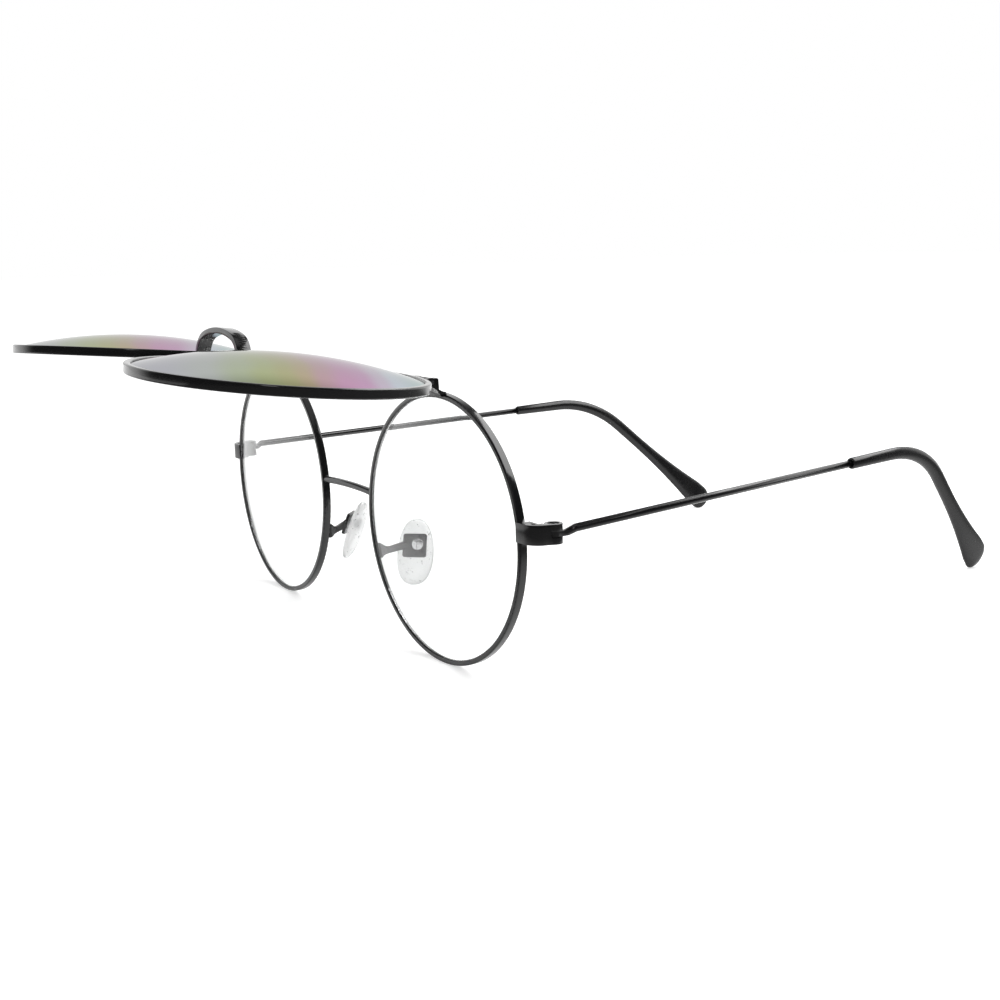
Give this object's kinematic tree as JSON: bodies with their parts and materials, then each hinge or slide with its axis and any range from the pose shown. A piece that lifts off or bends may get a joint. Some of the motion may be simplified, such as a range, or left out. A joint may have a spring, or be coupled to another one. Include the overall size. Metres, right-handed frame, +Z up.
{
  "type": "flip up sunglasses",
  "caption": "Round black wire glasses with clear lenses and a hinged front of round rainbow-mirrored lenses that flips up; folding temples and clear nose pads.",
  "frame": {"origin": "on the surface the glasses stand on, at the centre of the outer box in X and Y", "axes": "+X to the wearer's left, -Y forward (the way the wearer looks), +Y back along the temples, +Z up"},
  "size_m": [0.1334, 0.1954, 0.0627],
  "materials": {
    "black_metal": "glossy black lacquer over metal",
    "clear_lens": "polished, clear",
    "dark_screw": "blackened steel",
    "clear_pad": "soft, translucent, satin",
    "silver_screw": "polished nickel",
    "steel_pin": "ground steel",
    "washer": "thin pale plastic friction washer",
    "black_tip": "black, polished on top",
    "mirror_lens": "rainbow mirror coating on a tinted lens"
  },
  "bodies": {
    "front_frame": {"left_eyewire": "black_metal", "right_eyewire": "black_metal", "left_clear_lens": "clear_lens", "right_clear_lens": "clear_lens", "bridge": "black_metal", "left_end_piece": "black_metal", "right_end_piece": "black_metal", "left_closing_screw": "dark_screw", "right_closing_screw": "dark_screw", "left_hinge_screw": "dark_screw", "right_hinge_screw": "dark_screw", "left_pad_arm": "black_metal", "right_pad_arm": "black_metal", "left_nose_pad": "clear_pad", "right_nose_pad": "clear_pad", "left_pad_screw": "silver_screw", "right_pad_screw": "silver_screw", "left_flip_bracket": "black_metal", "right_flip_bracket": "black_metal", "left_flip_pin": "steel_pin", "right_flip_pin": "steel_pin", "left_flip_washers": "washer", "right_flip_washers": "washer"},
    "left_temple": {"left_temple_wire": "black_metal", "left_temple_tip": "black_tip"},
    "right_temple": {"right_temple_wire": "black_metal", "right_temple_tip": "black_tip"},
    "flip_front": {"left_flip_rim": "black_metal", "right_flip_rim": "black_metal", "left_mirror_lens": "mirror_lens", "right_mirror_lens": "mirror_lens", "flip_bridge": "black_metal", "left_flip_knuckle": "black_metal", "right_flip_knuckle": "black_metal"}
  },
  "joints": [
    {"name": "flip_hinge", "type": "hinge", "parent": "front_frame", "child": "flip_front", "pos_m": [0, -0.04475, 0.0531], "axis": [1, 0, 0], "range_deg": [0, 95.7]},
    {"name": "left_temple_fold", "type": "hinge", "parent": "front_frame", "child": "left_temple", "pos_m": [0.06454, -0.03685, 0.02895], "axis": [0.0175, 0, 0.9998], "range_deg": [0, 79]},
    {"name": "right_temple_fold", "type": "hinge", "parent": "front_frame", "child": "right_temple", "pos_m": [-0.06454, -0.03685, 0.02895], "axis": [-0.0175, 0, -0.9998], "range_deg": [0, 79]}
  ]
}
